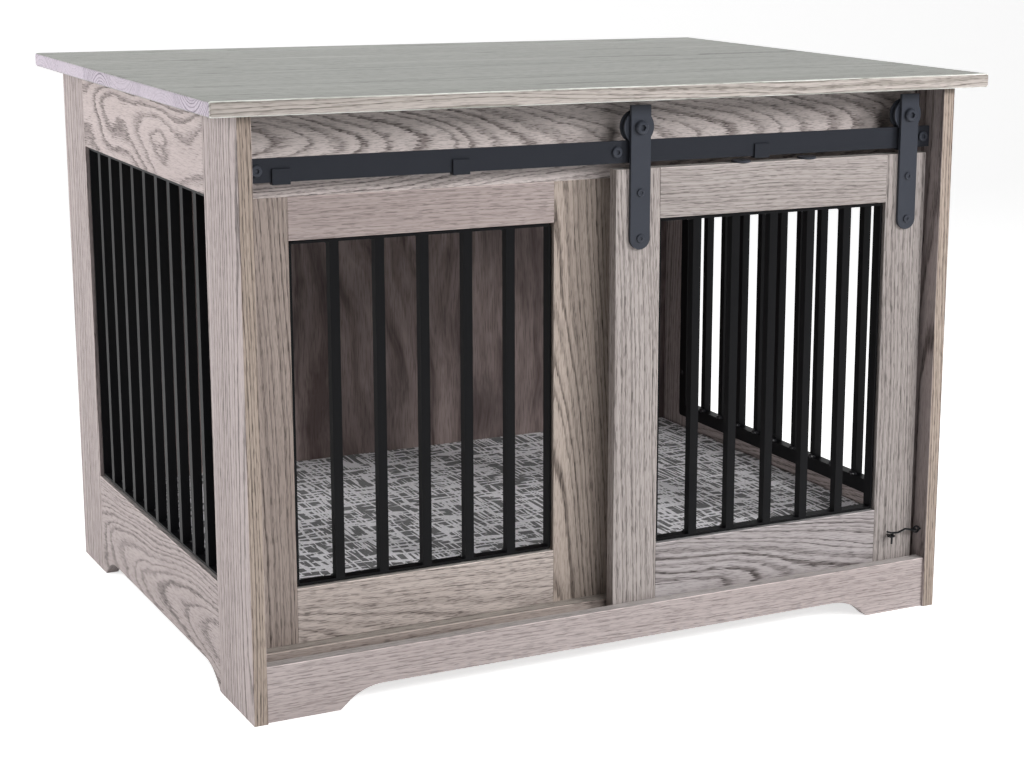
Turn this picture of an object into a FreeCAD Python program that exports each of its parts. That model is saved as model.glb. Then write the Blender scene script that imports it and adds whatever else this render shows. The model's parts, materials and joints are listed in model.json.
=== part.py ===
import FreeCAD, Part
import math
import os
import re
import Sketcher
from FreeCAD import Placement, Rotation, Vector

# Dog crate end table: a wooden case with barred openings, a slab top, and a front door that
# hangs on two grooved wheels and rolls along a flat bar.
# Frame: origin on the floor under the middle of the slab top, +X to the right along the front,
# +Y from the front to the back, +Z up. Millimetres.

os.makedirs("parts", exist_ok=True)
doc = FreeCAD.newDocument("DogCrateEndTable")
sheet = doc.addObject("Spreadsheet::Sheet", "Sizes")

SIZES = {
    # case
    "CaseWidth": 1067,
    "CaseDepth": 835,
    "SideHeight": 779,
    "BoardThick": 19,
    # slab top
    "TopThick": 20,
    "SideOverhang": 41,
    "FrontOverhang": 25,
    "TopEase": 4,
    # side frames
    "HeaderHeight": 112,
    "SideBottomRail": 155,
    "SideFrontStileWidth": 137,
    "SideRearStileWidth": 115,
    # scrolled arches between the feet
    "ArchHeight": 28,
    "ArchRadius": 76,
    "ArchAngle": 42,
    "ArchFootFront": 140,
    "ArchFootRear": 125,
    "BaseFoot": 100,
    # base rail and the channel behind it
    "BaseRailHeight": 76,
    "BaseInset": 4,
    "ChannelWidth": 27,
    "LedgeShow": 21,
    # fixed front panel
    "FixedStileWidth": 68,
    "MeetingStileWidth": 90,
    "FixedOpening": 374,
    "FixedTopRail": 56,
    "FixedBottomRail": 75,
    # door
    "DoorWidth": 508,
    "DoorSideGap": 9.5,
    "DoorFrontGap": 1.5,
    "DoorFloorGap": 6,
    "DoorTrackGap": 8,
    "DoorStileWidth": 68,
    "DoorTopRail": 69,
    "DoorBottomRail": 92,
    # angle-iron rings and bars
    "GridClear": 1.8,
    "GridThick": 3.2,
    "GridLeg": 17,
    "GridFlange": 22,
    "GridCorner": 6,
    "BarSize": 12.7,
    "SideBars": 9,
    "FrontBars": 5,
    "GridScrewEdge": 60,
    # back, floor and cleats
    "BackThick": 12,
    "BackInset": 26,
    "BackBottom": 45,
    "FloorThick": 12,
    "CarpetThick": 8,
    "CarpetTop": 122,
    "CarpetEdgeGap": 2,
    "CleatThick": 19,
    "CleatHeight": 38,
    # track
    "TrackHeight": 30,
    "TrackThick": 5,
    "TrackDrop": 72,
    "TrackStandOff": 5,
    "TrackEndGap": 2,
    "TrackBoltInset": 14,
    "SpacerRadius": 7,
    "BoltRadius": 3,
    "BoltHeadRadius": 7.5,
    "BoltHeadHeight": 3.5,
    "BoltBite": 16,
    "ClipWidth": 24,
    "ClipHeight": 17,
    "ClipThick": 3,
    "ClipEndInset": 45.5,
    "ClipFromMiddle": 227,
    # hangers
    "StrapWidth": 30,
    "StrapThick": 5,
    "StrapInset": 34.5,
    "StrapAboveAxle": 30,
    "StrapScrewUpper": 87.5,
    "StrapScrewLower": 149.5,
    "StrapScrewRadius": 2.5,
    "StrapScrewHead": 5.6,
    "RollRadius": 17.7,
    "WheelFlange": 5,
    "WheelWidth": 14,
    "WheelGap": 0.5,
    "GrooveClear": 0.6,
    "AxleRadius": 4,
    "AxleCapRadius": 9.5,
    "AxleCapHeight": 6,
    "AxleNutRadius": 7.5,
    "AxleNutHeight": 6,
    "RunningClear": 0.05,
    "HoleClear": 0.15,
    # anti-jump discs on the door's top edge
    "DiscRadius": 13.5,
    "DiscThick": 3,
    "DiscSpread": 54,
    # wood screws
    "ScrewRadius": 1.6,
    "ScrewHeadRadius": 3.6,
    "ScrewHeadHeight": 2.2,
    "ScrewBite": 12,
    "TopScrewInset": 34.5,
    # hook latch
    "LatchHeight": 119,
    "LatchSetback": 10.5,
    "LatchReach": 44,
    "LatchWire": 1.5,
    "SideEyeRadius": 4.6,
    "SideEyeOut": 7.5,
    "HookLoopRadius": 3.6,
    "HookTip": 17,
    "HookTail": 9,
    "DoorEyeRadius": 4.9,
    "DoorEyeDrop": 3,
    "DoorEyeShift": 1.4,
    "EyeScrewBite": 12,
}

for row, (alias, number) in enumerate(SIZES.items(), start=1):
    sheet.set(f"A{row}", alias)
    sheet.set(f"B{row}", str(number))
    sheet.setAlias(f"B{row}", alias)
doc.recompute()


def linked(expression):
    """Write an expression of aliases the way other objects refer to the sheet."""
    return re.sub(r"\b[A-Z][A-Za-z]+\b", lambda word: "Sizes." + word.group(0), expression)


def value(expression):
    """Work an expression of aliases out to a number."""
    return float(sheet.evalExpression(linked(expression)))


# Named planes. x counts from the case's left face, y from its front edges, z from the floor.
LEFT_INNER = "BoardThick"
RIGHT_INNER = "(CaseWidth - BoardThick)"
INNER_WIDTH = "(CaseWidth - 2 * BoardThick)"
RAIL_BACK = "(BaseInset + BoardThick)"
LEDGE_FRONT = f"({RAIL_BACK} + ChannelWidth)"
FIXED_FACE = f"({LEDGE_FRONT} + LedgeShow)"
FIXED_BACK = f"({FIXED_FACE} + BoardThick)"
HEADER_BOTTOM = "(SideHeight - HeaderHeight)"
LEDGE_BOTTOM = "(BaseRailHeight - BoardThick)"
CHANNEL_BOTTOM = "(BaseRailHeight - 2 * BoardThick)"
DOOR_FACE = f"({RAIL_BACK} + DoorFrontGap)"
DOOR_MIDDLE = f"({DOOR_FACE} + BoardThick / 2)"
DOOR_RIGHT = f"({RIGHT_INNER} - DoorSideGap)"
DOOR_LEFT = f"({DOOR_RIGHT} - DoorWidth)"
DOOR_BOTTOM = f"({LEDGE_BOTTOM} + DoorFloorGap)"
TRACK_BOTTOM = "(SideHeight - TrackDrop - TrackHeight / 2)"
TRACK_TOP = f"({TRACK_BOTTOM} + TrackHeight)"
TRACK_FRONT = f"({DOOR_FACE} + TrackStandOff)"
TRACK_MIDDLE = f"({TRACK_FRONT} + TrackThick / 2)"
TRACK_BACK = f"({TRACK_FRONT} + TrackThick)"
DOOR_TOP = f"({TRACK_BOTTOM} - DoorTrackGap)"
AXLE_HEIGHT = f"({TRACK_TOP} + RollRadius)"
FLOOR_TOP = "(CarpetTop - CarpetThick)"
FLOOR_BOTTOM = f"({FLOOR_TOP} - FloorThick)"
BACK_FACE = "(CaseDepth - BackInset - BackThick)"
OPENING_LEFT = f"({LEFT_INNER} + FixedStileWidth)"
OPENING_RIGHT = f"({OPENING_LEFT} + FixedOpening)"
SIDE_OPENING_LENGTH = "(CaseDepth - SideFrontStileWidth - SideRearStileWidth)"
SIDE_OPENING_HEIGHT = f"({HEADER_BOTTOM} - SideBottomRail)"
FIXED_OPENING_BOTTOM = "(BaseRailHeight + FixedBottomRail)"
FIXED_OPENING_HEIGHT = f"({HEADER_BOTTOM} - FixedTopRail - {FIXED_OPENING_BOTTOM})"
DOOR_OPENING_WIDTH = "(DoorWidth - 2 * DoorStileWidth)"
DOOR_OPENING_BOTTOM = f"({DOOR_BOTTOM} + DoorBottomRail)"
DOOR_OPENING_HEIGHT = f"({DOOR_TOP} - DoorTopRail - {DOOR_OPENING_BOTTOM})"
ORIGIN_X = "CaseWidth / 2"
ORIGIN_Y = "(CaseDepth - FrontOverhang) / 2"

# Turns of a piece drawn flat: its drawing's x, y and outward normal in the object's frame.
FACING_FRONT = Rotation(Vector(1, 0, 0), Vector(0, 0, 1), Vector(0, -1, 0), "ZXY")
FACING_LEFT = Rotation(Vector(0, -1, 0), Vector(0, 0, 1), Vector(-1, 0, 0), "ZXY")
FACING_RIGHT = Rotation(Vector(0, 1, 0), Vector(0, 0, 1), Vector(1, 0, 0), "ZXY")

pieces = []


def keep(piece, node):
    """Label a piece with its node's name and list it for export."""
    piece.Label = node
    pieces.append(piece)
    return piece


def put(piece, x, y, z, turn=None):
    """Bind a piece's place to case coordinates."""
    if turn is not None:
        piece.Placement = Placement(Vector(0, 0, 0), turn)
    piece.setExpression("Placement.Base.x", linked(f"{x} - {ORIGIN_X}"))
    piece.setExpression("Placement.Base.y", linked(f"{y} - {ORIGIN_Y}"))
    piece.setExpression("Placement.Base.z", linked(z))


def board(node, x, y, z, across, deep, tall):
    """A straight board from its lowest corner and its three sizes."""
    box = doc.addObject("Part::Box", node)
    box.setExpression("Length", linked(across))
    box.setExpression("Width", linked(deep))
    box.setExpression("Height", linked(tall))
    put(box, x, y, z)
    return keep(box, node)


# --- sketch helpers -------------------------------------------------------------------------


def new_body(node):
    return doc.addObject("PartDesign::Body", node)


def new_sketch(body, name):
    """A sketch on the body's own XY plane."""
    sketch = body.newObject("Sketcher::SketchObject", name)
    plane = next(item for item in body.Origin.OriginFeatures if item.Role == "XY_Plane")
    sketch.AttachmentSupport = [(plane, "")]
    sketch.MapMode = "FlatFace"
    return sketch


def dimension(sketch, kind, *where, expression):
    """Add one driving dimension and bind it."""
    index = sketch.addConstraint(Sketcher.Constraint(kind, *where, value(expression)))
    sketch.setExpression(f"Constraints[{index}]", linked(expression))


def pin(sketch, edge, end, x, y):
    """Fix a point of the sketch at x, y, each an expression of aliases."""
    for kind, expression, axis in (("DistanceX", x, -2), ("DistanceY", y, -1)):
        distance = value(expression)
        if abs(distance) < 1e-9:
            sketch.addConstraint(Sketcher.Constraint("PointOnObject", edge, end, axis))
        elif distance > 0:
            dimension(sketch, kind, -1, 1, edge, end, expression=expression)
        else:
            dimension(sketch, kind, edge, end, -1, 1, expression=f"-({expression})")


def arc_between(start, end, radius, bulge):
    """An arc of the given radius; bulge +1 turns anticlockwise from start to end."""
    chord = end - start
    half = chord.Length / 2
    reach = math.sqrt(max(radius * radius - half * half, 0))
    normal = Vector(-chord.y, chord.x, 0).normalize()
    centre = (start + end) * 0.5 + normal * reach * bulge
    circle = Part.Circle(centre, Vector(0, 0, 1), radius)
    first = math.atan2(start.y - centre.y, start.x - centre.x)
    last = math.atan2(end.y - centre.y, end.x - centre.x)
    if bulge < 0:
        first, last = last, first
    return Part.ArcOfCircle(circle, first, last)


def outline(sketch, corners, arcs=None):
    """A closed outline through corners; arcs maps an edge's number to (radius, bulge)."""
    arcs = arcs or {}
    spots = [Vector(value(x), value(y), 0) for x, y in corners]
    ends = {}
    for number, start in enumerate(spots):
        end = spots[(number + 1) % len(spots)]
        if number in arcs:
            radius, bulge = arcs[number]
            edge = sketch.addGeometry(arc_between(start, end, value(radius), bulge), False)
            ends[number] = (edge, 1, 2) if bulge > 0 else (edge, 2, 1)
        else:
            edge = sketch.addGeometry(Part.LineSegment(start, end), False)
            ends[number] = (edge, 1, 2)
    for number in range(len(spots)):
        edge, first, last = ends[number]
        following, entry, _ = ends[(number + 1) % len(spots)]
        sketch.addConstraint(Sketcher.Constraint("Coincident", edge, last, following, entry))
        pin(sketch, edge, first, *corners[number])
    for number, (radius, _) in arcs.items():
        dimension(sketch, "Radius", ends[number][0], expression=radius)


def rectangle(sketch, left, bottom, right, top):
    outline(sketch, [(left, bottom), (right, bottom), (right, top), (left, top)])


def rounded(sketch, half_width, half_height, radius):
    """A rectangle about the origin with round corners."""
    wide = f"({half_width} - {radius})"
    tall = f"({half_height} - {radius})"
    corners = [
        (f"-{wide}", f"-{half_height}"), (wide, f"-{half_height}"),
        (half_width, f"-{tall}"), (half_width, tall),
        (wide, half_height), (f"-{wide}", half_height),
        (f"-{half_width}", tall), (f"-{half_width}", f"-{tall}"),
    ]
    outline(sketch, corners, {edge: (radius, 1) for edge in (1, 3, 5, 7)})


def circle(sketch, x, y, radius):
    shape = Part.Circle(Vector(value(x), value(y), 0), Vector(0, 0, 1), value(radius))
    edge = sketch.addGeometry(shape, False)
    dimension(sketch, "Radius", edge, expression=radius)
    pin(sketch, edge, 3, x, y)


def pad(body, sketch, length, lift=None):
    """Pad a sketch upwards; lift raises the sketch first."""
    if lift is not None:
        sketch.setExpression("AttachmentOffset.Base.z", linked(lift))
    feature = body.newObject("PartDesign::Pad", sketch.Name + "Pad")
    feature.Profile = sketch
    feature.setExpression("Length", linked(length))
    sketch.Visibility = False
    return feature


def pocket(body, sketch):
    """Cut a sketch through the whole body, in both directions."""
    feature = body.newObject("PartDesign::Pocket", sketch.Name + "Pocket")
    feature.Profile = sketch
    feature.Type = 1
    feature.Midplane = True
    sketch.Visibility = False
    return feature


# --- solid helpers --------------------------------------------------------------------------


def rod(radius, length, base=(0, 0, 0), along=(0, 0, 1)):
    return Part.makeCylinder(radius, length, Vector(*base), Vector(*along))


def moved(shape, x, y, z, turn=None):
    """A copy of a shape at case coordinates, given as expressions."""
    copy = shape.copy()
    spot = Vector(
        value(f"{x} - {ORIGIN_X}"), value(f"{y} - {ORIGIN_Y}"), value(z))
    copy.Placement = Placement(spot, turn or Rotation())
    return copy


def solids(node, shapes):
    """One node that holds separate solids."""
    feature = doc.addObject("Part::Feature", node)
    feature.Shape = Part.makeCompound(shapes) if len(shapes) > 1 else shapes[0]
    return keep(feature, node)


def hexagon(radius, tall, lift):
    """A hexagonal prism from z = lift, measured to its corners."""
    turns = [math.radians(60 * number) for number in range(7)]
    ring = [Vector(radius * math.cos(turn), radius * math.sin(turn), lift) for turn in turns]
    return Part.Face(Part.makePolygon(ring)).extrude(Vector(0, 0, tall))


def screw(head_radius, head_height, shank_radius, length):
    """A round-head screw: its head stands on z = 0, its shank runs down, with a hex socket."""
    head = rod(head_radius, head_height)
    rim = [edge for edge in head.Edges if edge.Curve.TypeId == "Part::GeomCircle"
           and edge.CenterOfMass.z > head_height / 2]
    head = head.makeFillet(head_height * 0.6, rim)
    socket = hexagon(head_radius * 0.45, head_height, head_height * 0.45)
    return head.cut(socket).fuse(rod(shank_radius, length, (0, 0, -length))).removeSplitter()


def wire_along(points, radius, wire):
    """A round wire along straight runs joined by tangent arcs of one bend radius."""
    spots = [Vector(*point) for point in points]
    edges = []
    last = spots[0]
    for before, corner, after in zip(spots, spots[1:], spots[2:]):
        into = (corner - before).normalize()
        out = (after - corner).normalize()
        turn = into.getAngle(out)
        setback = radius * math.tan(turn / 2)
        start = corner - into * setback
        end = corner + out * setback
        bisector = (out - into).normalize()
        centre = corner + bisector * (radius / math.cos(turn / 2))
        middle = centre - bisector * radius
        edges.append(Part.LineSegment(last, start).toShape())
        edges.append(Part.Arc(start, middle, end).toShape())
        last = end
    edges.append(Part.LineSegment(last, spots[-1]).toShape())
    path = Part.Wire(edges)
    heading = (spots[1] - spots[0]).normalize()
    ring = Part.Wire(Part.makeCircle(wire, spots[0], heading))
    return path.makePipeShell([ring], True, False)


# --- wooden case ----------------------------------------------------------------------------


def make_table_top():
    body = new_body("table_top")
    sketch = new_sketch(body, "TopOutline")
    half_width = "(CaseWidth / 2 + SideOverhang)"
    half_depth = "((CaseDepth + FrontOverhang) / 2)"
    rectangle(sketch, f"-{half_width}", f"-{half_depth}", half_width, half_depth)
    slab = pad(body, sketch, "TopThick")
    doc.recompute()
    ease = body.newObject("PartDesign::Fillet", "TopEasing")
    ease.Base = (slab, [f"Edge{number + 1}" for number in range(len(slab.Shape.Edges))])
    ease.setExpression("Radius", linked("TopEase"))
    body.setExpression("Placement.Base.z", linked("SideHeight"))
    keep(body, "table_top")


def arch_corners(left, right):
    """The cut between two feet: slopes off the floor that round into a level line."""
    rise = "(ArchHeight - ArchRadius * (1 - cos(ArchAngle)))"
    run = f"({rise} / tan(ArchAngle))"
    reach = f"({run} + ArchRadius * sin(ArchAngle))"
    corners = [
        (left, "0"), (right, "0"),
        (f"({right} - {run})", rise), (f"({right} - {reach})", "ArchHeight"),
        (f"({left} + {reach})", "ArchHeight"), (f"({left} + {run})", rise),
    ]
    return corners, {2: ("ArchRadius", 1), 4: ("ArchRadius", 1)}


def arched_board(node, length, height, left, right, x, y, turn):
    """A board standing on the floor with an arch cut from its lower edge."""
    body = new_body(node)
    blank = new_sketch(body, node + "Blank")
    rectangle(blank, "0", "0", length, height)
    pad(body, blank, "BoardThick")
    arch = new_sketch(body, node + "Arch")
    outline(arch, *arch_corners(left, right))
    pocket(body, arch)
    put(body, x, y, "0", turn)
    keep(body, node)


def make_sides():
    for side, face in (("left", "0"), ("right", RIGHT_INNER)):
        board(f"{side}_front_stile", face, "0", "0",
              "BoardThick", "SideFrontStileWidth", "SideHeight")
        board(f"{side}_rear_stile", face, "CaseDepth - SideRearStileWidth", "0",
              "BoardThick", "SideRearStileWidth", "SideHeight")
        board(f"{side}_top_rail", face, "SideFrontStileWidth", HEADER_BOTTOM,
              "BoardThick", SIDE_OPENING_LENGTH, "HeaderHeight")
    front = "(ArchFootFront - SideFrontStileWidth)"
    rear = f"({SIDE_OPENING_LENGTH} - (ArchFootRear - SideRearStileWidth))"
    arched_board("right_bottom_rail", SIDE_OPENING_LENGTH, "SideBottomRail", front, rear,
                 RIGHT_INNER, "SideFrontStileWidth", FACING_RIGHT)
    mirrored = [f"({SIDE_OPENING_LENGTH} - {edge})" for edge in (rear, front)]
    arched_board("left_bottom_rail", SIDE_OPENING_LENGTH, "SideBottomRail", *mirrored,
                 LEFT_INNER, "(CaseDepth - SideRearStileWidth)", FACING_LEFT)


def make_front():
    arched_board("base_rail", INNER_WIDTH, "BaseRailHeight",
                 "BaseFoot", f"({INNER_WIDTH} - BaseFoot)", LEFT_INNER, RAIL_BACK, FACING_FRONT)
    board("ledge_board", LEFT_INNER, LEDGE_FRONT, LEDGE_BOTTOM,
          INNER_WIDTH, "LedgeShow + BoardThick", "BoardThick")
    board("channel_floor", LEFT_INNER, RAIL_BACK, CHANNEL_BOTTOM,
          INNER_WIDTH, f"{FIXED_BACK} - {RAIL_BACK}", "BoardThick")
    board("header_board", LEFT_INNER, FIXED_FACE, HEADER_BOTTOM,
          INNER_WIDTH, "BoardThick", "HeaderHeight")
    stile_height = f"{HEADER_BOTTOM} - BaseRailHeight"
    board("fixed_left_stile", LEFT_INNER, FIXED_FACE, "BaseRailHeight",
          "FixedStileWidth", "BoardThick", stile_height)
    board("fixed_right_stile", OPENING_RIGHT, FIXED_FACE, "BaseRailHeight",
          "MeetingStileWidth", "BoardThick", stile_height)
    board("fixed_top_rail", OPENING_LEFT, FIXED_FACE, f"{HEADER_BOTTOM} - FixedTopRail",
          "FixedOpening", "BoardThick", "FixedTopRail")
    board("fixed_bottom_rail", OPENING_LEFT, FIXED_FACE, "BaseRailHeight",
          "FixedOpening", "BoardThick", "FixedBottomRail")


def make_inside():
    board("back_panel", LEFT_INNER, BACK_FACE, "BackBottom",
          INNER_WIDTH, "BackThick", "SideHeight - BackBottom")
    floor_length = f"{BACK_FACE} - {FIXED_BACK}"
    cleat_bottom = f"{FLOOR_BOTTOM} - CleatHeight"
    board("floor_panel", LEFT_INNER, FIXED_BACK, FLOOR_BOTTOM,
          INNER_WIDTH, floor_length, "FloorThick")
    board("carpet_mat", f"{LEFT_INNER} + CarpetEdgeGap", f"{FIXED_BACK} + CarpetEdgeGap",
          FLOOR_TOP, f"{INNER_WIDTH} - 2 * CarpetEdgeGap",
          f"{floor_length} - 2 * CarpetEdgeGap", "CarpetThick")
    board("front_floor_rail", LEFT_INNER, FIXED_BACK, CHANNEL_BOTTOM,
          INNER_WIDTH, "CleatThick", f"{FLOOR_BOTTOM} - {CHANNEL_BOTTOM}")
    board("rear_floor_cleat", LEFT_INNER, f"{BACK_FACE} - CleatThick", cleat_bottom,
          INNER_WIDTH, "CleatThick", "CleatHeight")
    cleat_length = f"{floor_length} - 2 * CleatThick"
    top_cleat_y = f"({FIXED_BACK} + CleatThick)"
    for side, x in (("left", LEFT_INNER), ("right", f"{RIGHT_INNER} - CleatThick")):
        board(f"{side}_floor_cleat", x, top_cleat_y, cleat_bottom,
              "CleatThick", cleat_length, "CleatHeight")
        board(f"{side}_top_cleat", x, top_cleat_y, "SideHeight - CleatThick",
              "CleatThick", cleat_length, "CleatThick")
    top_screw = screw(value("ScrewHeadRadius"), value("ScrewHeadHeight"),
                      value("ScrewRadius"), value("CleatThick + ScrewBite"))
    facing_down = Rotation(Vector(1, 0, 0), 180)
    first = f"({top_cleat_y} + TopScrewInset)"
    last = f"({BACK_FACE} - CleatThick - TopScrewInset)"
    screws = []
    for x in (f"{LEFT_INNER} + CleatThick / 2", f"{RIGHT_INNER} - CleatThick / 2"):
        for y in (first, f"({first} + {last}) / 2", last):
            screws.append(moved(top_screw, x, y, "SideHeight - CleatThick", facing_down))
    solids("top_screws", screws)


# --- angle-iron rings with bars -------------------------------------------------------------


def grid_screw_spots(half_width, half_height, with_middle):
    """Screw centres on a ring's flange."""
    out = "((GridFlange - GridThick) / 2)"
    spots = []
    for x in (f"-({half_width} + {out})", f"({half_width} + {out})"):
        spots.append((x, f"-({half_height} - GridScrewEdge)"))
        spots.append((x, f"({half_height} - GridScrewEdge)"))
    if with_middle:
        spots.append(("0", f"-({half_height} + {out})"))
        spots.append(("0", f"({half_height} + {out})"))
    return spots


def make_grid(node, width, height, bars, x, y, z, turn, screw_node, with_middle=False):
    """A welded ring of angle iron with square bars: the flange lies on the wood's inner face,
    the leg lines the opening, and the bars stand flush with the leg's outer edge.
    x, y, z is the middle of the wooden opening on the wood's inner face."""
    body = new_body(node)
    half_width = f"({width} / 2 - GridClear)"
    half_height = f"({height} / 2 - GridClear)"
    beyond = "(GridFlange - GridThick)"
    spots = grid_screw_spots(half_width, half_height, with_middle)

    flange = new_sketch(body, node + "Flange")
    rounded(flange, f"({half_width} + {beyond})", f"({half_height} + {beyond})", "GridCorner")
    inner_width = f"({half_width} - GridThick)"
    inner_height = f"({half_height} - GridThick)"
    rectangle(flange, f"-{inner_width}", f"-{inner_height}", inner_width, inner_height)
    for spot_x, spot_y in spots:
        circle(flange, spot_x, spot_y, "(ScrewRadius + HoleClear)")
    pad(body, flange, "GridThick")

    leg = new_sketch(body, node + "Leg")
    rounded(leg, half_width, half_height, "GridCorner")
    rectangle(leg, f"-{inner_width}", f"-{inner_height}", inner_width, inner_height)
    pad(body, leg, "GridLeg")

    bar = new_sketch(body, node + "Bar")
    pitch = f"({width} / ({bars} + 1))"
    first = f"(-{pitch} * ({bars} - 1) / 2)"
    rectangle(bar, f"({first} - BarSize / 2)", f"-{inner_height}",
              f"({first} + BarSize / 2)", inner_height)
    bar_pad = pad(body, bar, "BarSize", lift="GridLeg - BarSize")
    doc.recompute()
    row = body.newObject("PartDesign::LinearPattern", node + "Bars")
    row.Originals = [bar_pad]
    row.Direction = (bar, ["H_Axis"])
    row.setExpression("Length", linked(f"{pitch} * ({bars} - 1)"))
    row.setExpression("Occurrences", linked(bars))
    body.Tip = row
    put(body, x, y, z, turn)
    # the flange lies outside the wood, so the ring's drawing plane is one thickness inwards
    inwards = turn.multVec(Vector(0, 0, -1))
    for axis, part, middle in (("x", inwards.x, f"{x} - {ORIGIN_X}"),
                               ("y", inwards.y, f"{y} - {ORIGIN_Y}")):
        sign = round(part)
        body.setExpression(f"Placement.Base.{axis}", linked(f"{middle} + {sign} * GridThick"))
    keep(body, node)

    fixing = screw(value("ScrewHeadRadius"), value("ScrewHeadHeight"),
                   value("ScrewRadius"), value("GridThick + ScrewBite"))
    base = Placement(Vector(value(f"{x} - {ORIGIN_X}"), value(f"{y} - {ORIGIN_Y}"), value(z)), turn)
    copies = []
    for spot_x, spot_y in spots:
        copy = fixing.copy()
        local = Placement(Vector(value(spot_x), value(spot_y), -value("GridThick")),
                          Rotation(Vector(1, 0, 0), 180))
        copy.Placement = base.multiply(local)
        copies.append(copy)
    solids(screw_node, copies)


def make_grids():
    middle_y = "(SideFrontStileWidth + CaseDepth - SideRearStileWidth) / 2"
    middle_z = f"SideBottomRail + {SIDE_OPENING_HEIGHT} / 2"
    make_grid("left_side_grid", SIDE_OPENING_LENGTH, SIDE_OPENING_HEIGHT, "SideBars",
              LEFT_INNER, middle_y, middle_z, FACING_LEFT, "left_grid_screws", True)
    make_grid("right_side_grid", SIDE_OPENING_LENGTH, SIDE_OPENING_HEIGHT, "SideBars",
              RIGHT_INNER, middle_y, middle_z, FACING_RIGHT, "right_grid_screws", True)
    make_grid("fixed_grid", "FixedOpening", FIXED_OPENING_HEIGHT, "FrontBars",
              f"{OPENING_LEFT} + FixedOpening / 2", FIXED_BACK,
              f"{FIXED_OPENING_BOTTOM} + {FIXED_OPENING_HEIGHT} / 2",
              FACING_FRONT, "fixed_grid_screws")
    make_grid("door_grid", DOOR_OPENING_WIDTH, DOOR_OPENING_HEIGHT, "FrontBars",
              f"{DOOR_LEFT} + DoorWidth / 2", f"({DOOR_FACE} + BoardThick)",
              f"{DOOR_OPENING_BOTTOM} + {DOOR_OPENING_HEIGHT} / 2",
              FACING_FRONT, "door_grid_screws")


# --- door -----------------------------------------------------------------------------------


def make_door():
    height = f"{DOOR_TOP} - {DOOR_BOTTOM}"
    board("door_left_stile", DOOR_LEFT, DOOR_FACE, DOOR_BOTTOM,
          "DoorStileWidth", "BoardThick", height)
    board("door_right_stile", f"{DOOR_RIGHT} - DoorStileWidth", DOOR_FACE, DOOR_BOTTOM,
          "DoorStileWidth", "BoardThick", height)
    board("door_top_rail", f"{DOOR_LEFT} + DoorStileWidth", DOOR_FACE, f"{DOOR_TOP} - DoorTopRail",
          DOOR_OPENING_WIDTH, "BoardThick", "DoorTopRail")
    board("door_bottom_rail", f"{DOOR_LEFT} + DoorStileWidth", DOOR_FACE, DOOR_BOTTOM,
          DOOR_OPENING_WIDTH, "BoardThick", "DoorBottomRail")


def make_strap(node, x):
    """A flat hanger: square above, round below, with an axle hole and two screw holes.
    Its drawing's origin is the axle."""
    body = new_body(node)
    half = "(StrapWidth / 2)"
    lowest = "(-StrapScrewLower)"
    shape = new_sketch(body, node + "Outline")
    corners = [
        (f"-{half}", lowest), ("0", f"({lowest} - {half})"), (half, lowest),
        (half, "StrapAboveAxle"), (f"-{half}", "StrapAboveAxle"),
    ]
    outline(shape, corners, {0: (half, 1), 1: (half, 1)})
    pad(body, shape, "StrapThick")
    holes = new_sketch(body, node + "Holes")
    circle(holes, "0", "0", "(AxleRadius + HoleClear)")
    circle(holes, "0", "(-StrapScrewUpper)", "(StrapScrewRadius + HoleClear)")
    circle(holes, "0", lowest, "(StrapScrewRadius + HoleClear)")
    pocket(body, holes)
    put(body, x, DOOR_FACE, AXLE_HEIGHT, FACING_FRONT)
    keep(body, node)


def make_wheel(node, x):
    """A grooved wheel turned about Y: the groove's floor rolls on the track's top edge."""
    body = new_body(node)
    profile = new_sketch(body, node + "Profile")
    rim = "(RollRadius + WheelFlange)"
    bore = "(AxleRadius + RunningClear)"
    groove = "((WheelWidth - TrackThick) / 2 - GrooveClear)"
    taper = f"({groove} - 1.4 * GrooveClear)"
    corners = [
        (bore, "0"), (rim, "0"), (rim, taper), ("RollRadius", groove),
        ("RollRadius", f"(WheelWidth - {groove})"), (rim, f"(WheelWidth - {taper})"),
        (rim, "WheelWidth"), (bore, "WheelWidth"),
    ]
    outline(profile, corners)
    turned = body.newObject("PartDesign::Revolution", node + "Turned")
    turned.Profile = profile
    turned.ReferenceAxis = (profile, ["V_Axis"])
    turned.Angle = 360
    profile.Visibility = False
    put(body, x, f"({TRACK_MIDDLE} - WheelWidth / 2)", AXLE_HEIGHT)
    keep(body, node)


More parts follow.
